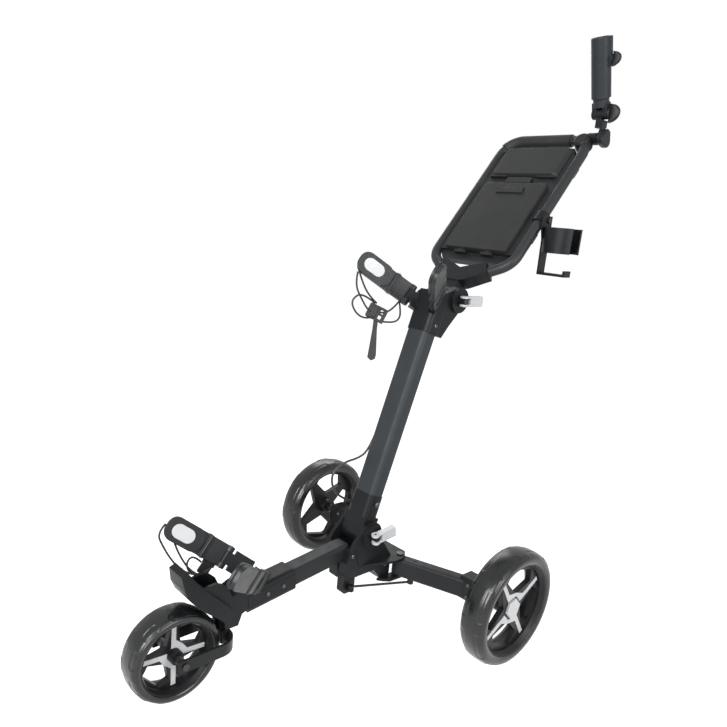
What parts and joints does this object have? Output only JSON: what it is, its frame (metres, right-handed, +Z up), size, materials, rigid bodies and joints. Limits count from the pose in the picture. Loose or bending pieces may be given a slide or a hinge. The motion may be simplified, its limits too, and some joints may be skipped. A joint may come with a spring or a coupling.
{
  "type": "golf push cart",
  "caption": "Folding three-wheeled push cart for a golf bag: leaning post, looped handle with console, cup ring and umbrella holder, bag cradle arms and swing-out rear legs.",
  "frame": {"origin": "on the floor, at the middle of the cart's plan box without its cords", "axes": "+Z up, -Y the way the front wheel points, +X towards the cup and umbrella side"},
  "size_m": [0.643, 1.077, 1.2815],
  "materials": {
    "cable": "black cable sheath",
    "console": "dark grey-brown fine-grained plastic",
    "cord": "black elastic cord",
    "foam": "soft black foam grip",
    "lever": "off-white plastic",
    "plastic": "black fine-grained plastic",
    "rim": "black moulded plastic",
    "steel": "zinc-plated steel",
    "trim": "white moulded plastic",
    "tube": "anthracite satin powder coat",
    "tyre": "satin black tread rubber"
  },
  "bodies": {
    "chassis": {"hub_housing": "plastic", "front_tube": "tube", "head_casting": "plastic", "chassis_pins": "steel"},
    "leg_left": {"leg_left": "tube", "leg_block_left": "plastic", "axle_left": "steel"},
    "leg_right": {"leg_right": "tube", "leg_block_right": "plastic", "axle_right": "steel"},
    "wheel_left": {"tyre_left": "tyre", "rim_left": "rim", "trim_left": "trim"},
    "wheel_right": {"tyre_right": "tyre", "rim_right": "rim", "trim_right": "trim"},
    "fold_shoe": {"fold_shoe": "plastic"},
    "link_left": {"link_left": "steel"},
    "link_right": {"link_right": "steel"},
    "fork": {"fork": "plastic", "front_axle": "steel"},
    "front_wheel": {"front_tyre": "tyre", "front_rim": "rim", "front_trim": "trim"},
    "lower_arm_left": {"lower_arm_left": "plastic", "lower_oval_left": "lever"},
    "lower_arm_right": {"lower_arm_right": "plastic", "lower_oval_right": "lever", "lower_cord": "cord"},
    "lower_lever": {"lower_lever": "lever"},
    "post": {"post_tube": "tube", "post_foot": "plastic", "post_head": "plastic", "post_pins": "steel", "brake_cable": "cable"},
    "upper_lever": {"upper_lever": "lever"},
    "upper_arm_left": {"upper_arm_left": "plastic", "upper_oval_left": "lever"},
    "upper_arm_right": {"upper_arm_right": "plastic", "upper_oval_right": "lever", "upper_cord": "cord", "upper_hook": "plastic"},
    "handle": {"handle_tube": "tube", "grip": "foam", "handle_yoke": "plastic", "console_tray": "console", "console_pad": "console", "cup_clamp": "plastic", "umbrella_clamp": "plastic", "handle_screws": "steel"},
    "console_lid": {"console_lid": "console"},
    "console_latch": {"console_latch": "console"},
    "cup_holder": {"cup_holder": "plastic"},
    "umbrella_link": {"umbrella_link": "plastic"},
    "umbrella_tube": {"umbrella_tube": "plastic"},
    "base_knob": {"base_knob": "plastic"},
    "tilt_knob": {"tilt_knob": "plastic"},
    "tube_knob": {"tube_knob": "plastic"}
  },
  "joints": [
    {"name": "post_fold", "type": "hinge", "parent": "chassis", "child": "post", "pos_m": [0, -0.001, 0.214], "axis": [1, 0, 0], "range_deg": [0, 75]},
    {"name": "leg_left_fold", "type": "hinge", "parent": "chassis", "child": "leg_left", "pos_m": [0.046, 0.0894, 0.122], "axis": [0, 0, 1], "range_deg": [0, 50]},
    {"name": "leg_right_fold", "type": "hinge", "parent": "chassis", "child": "leg_right", "pos_m": [-0.046, 0.0894, 0.122], "axis": [0, 0, -1], "range_deg": [0, 50]},
    {"name": "shoe_slide", "type": "slide", "parent": "chassis", "child": "fold_shoe", "axis": [0, 1, 0], "range_m": [0, 0.012]},
    {"name": "link_left_swing", "type": "hinge", "parent": "fold_shoe", "child": "link_left", "pos_m": [0.017, -0.027, 0.0904], "axis": [0, 0, 1], "range_deg": [0, 8.4]},
    {"name": "link_right_swing", "type": "hinge", "parent": "fold_shoe", "child": "link_right", "pos_m": [-0.017, -0.027, 0.0904], "axis": [0, 0, -1], "range_deg": [0, 8.4]},
    {"name": "wheel_left_spin", "type": "hinge", "parent": "leg_left", "child": "wheel_left", "pos_m": [0.2925, 0.154, 0.125], "axis": [1, 0, 0], "continuous": true},
    {"name": "wheel_right_spin", "type": "hinge", "parent": "leg_right", "child": "wheel_right", "pos_m": [-0.2925, 0.154, 0.125], "axis": [1, 0, 0], "continuous": true},
    {"name": "fork_swivel", "type": "hinge", "parent": "chassis", "child": "fork", "pos_m": [0, -0.348, 0.104], "axis": [0, 0, 1], "range_deg": [-15, 15]},
    {"name": "front_wheel_spin", "type": "hinge", "parent": "fork", "child": "front_wheel", "pos_m": [0, -0.45, 0.0885], "axis": [1, 0, 0], "continuous": true},
    {"name": "lower_arm_left_swing", "type": "hinge", "parent": "chassis", "child": "lower_arm_left", "pos_m": [0.055, -0.30678, 0.21198], "axis": [0, 0.606, 0.7955], "range_deg": [-20, 15]},
    {"name": "lower_arm_right_swing", "type": "hinge", "parent": "chassis", "child": "lower_arm_right", "pos_m": [-0.055, -0.30678, 0.21198], "axis": [0, -0.606, -0.7955], "range_deg": [-10, 25]},
    {"name": "lower_lever_cam", "type": "hinge", "parent": "chassis", "child": "lower_lever", "pos_m": [0.0516, -0.001, 0.214], "axis": [0, 0.1908, -0.9816], "range_deg": [0, 100]},
    {"name": "upper_lever_cam", "type": "hinge", "parent": "post", "child": "upper_lever", "pos_m": [0.0466, 0.201, 0.714], "axis": [0, 0, -1], "range_deg": [0, 100]},
    {"name": "upper_arm_left_swing", "type": "hinge", "parent": "post", "child": "upper_arm_left", "pos_m": [0.04, 0.11978, 0.71748], "axis": [0, 0.606, 0.7955], "range_deg": [-10, 25]},
    {"name": "upper_arm_right_swing", "type": "hinge", "parent": "post", "child": "upper_arm_right", "pos_m": [-0.04, 0.11978, 0.71748], "axis": [0, -0.606, -0.7955], "range_deg": [-10, 25]},
    {"name": "handle_fold", "type": "hinge", "parent": "post", "child": "handle", "pos_m": [0, 0.201, 0.714], "axis": [-1, 0, 0], "range_deg": [0, 120]},
    {"name": "lid_hinge", "type": "hinge", "parent": "handle", "child": "console_lid", "pos_m": [0, 0.27024, 0.81474], "axis": [1, 0, 0], "range_deg": [0, 100]},
    {"name": "latch_slide", "type": "slide", "parent": "handle", "child": "console_latch", "axis": [0, 0.6428, 0.766], "range_m": [0, 0.004], "stiffness_N_per_m": 150},
    {"name": "cup_swing", "type": "hinge", "parent": "handle", "child": "cup_holder", "pos_m": [0.1234, 0.34925, 0.89334], "axis": [1, 0, 0], "range_deg": [-45, 45]},
    {"name": "umbrella_link_swing", "type": "hinge", "parent": "handle", "child": "umbrella_link", "pos_m": [0.1124, 0.516, 1.078], "axis": [1, 0, 0], "range_deg": [-30, 20]},
    {"name": "umbrella_tilt", "type": "hinge", "parent": "umbrella_link", "child": "umbrella_tube", "pos_m": [0.104, 0.526, 1.132], "axis": [1, 0, 0], "range_deg": [-35, 35]},
    {"name": "base_knob_turn", "type": "hinge", "parent": "handle", "child": "base_knob", "pos_m": [0.1263, 0.516, 1.078], "axis": [1, 0, 0], "continuous": true},
    {"name": "tilt_knob_turn", "type": "hinge", "parent": "umbrella_link", "child": "tilt_knob", "pos_m": [0.126, 0.526, 1.132], "axis": [1, 0, 0], "continuous": true},
    {"name": "tube_knob_turn", "type": "hinge", "parent": "umbrella_tube", "child": "tube_knob", "pos_m": [0.135, 0.488, 1.23309], "axis": [1, 0, 0], "continuous": true}
  ],
  "couplings": [
    {"joint": "leg_left_fold", "follows": "post_fold", "ratio": 0.6666},
    {"joint": "leg_right_fold", "follows": "post_fold", "ratio": 0.6666},
    {"joint": "shoe_slide", "follows": "post_fold", "m_per_rad": 0.00909},
    {"joint": "link_left_swing", "follows": "post_fold", "ratio": 0.1113},
    {"joint": "link_right_swing", "follows": "post_fold", "ratio": 0.1113}
  ]
}
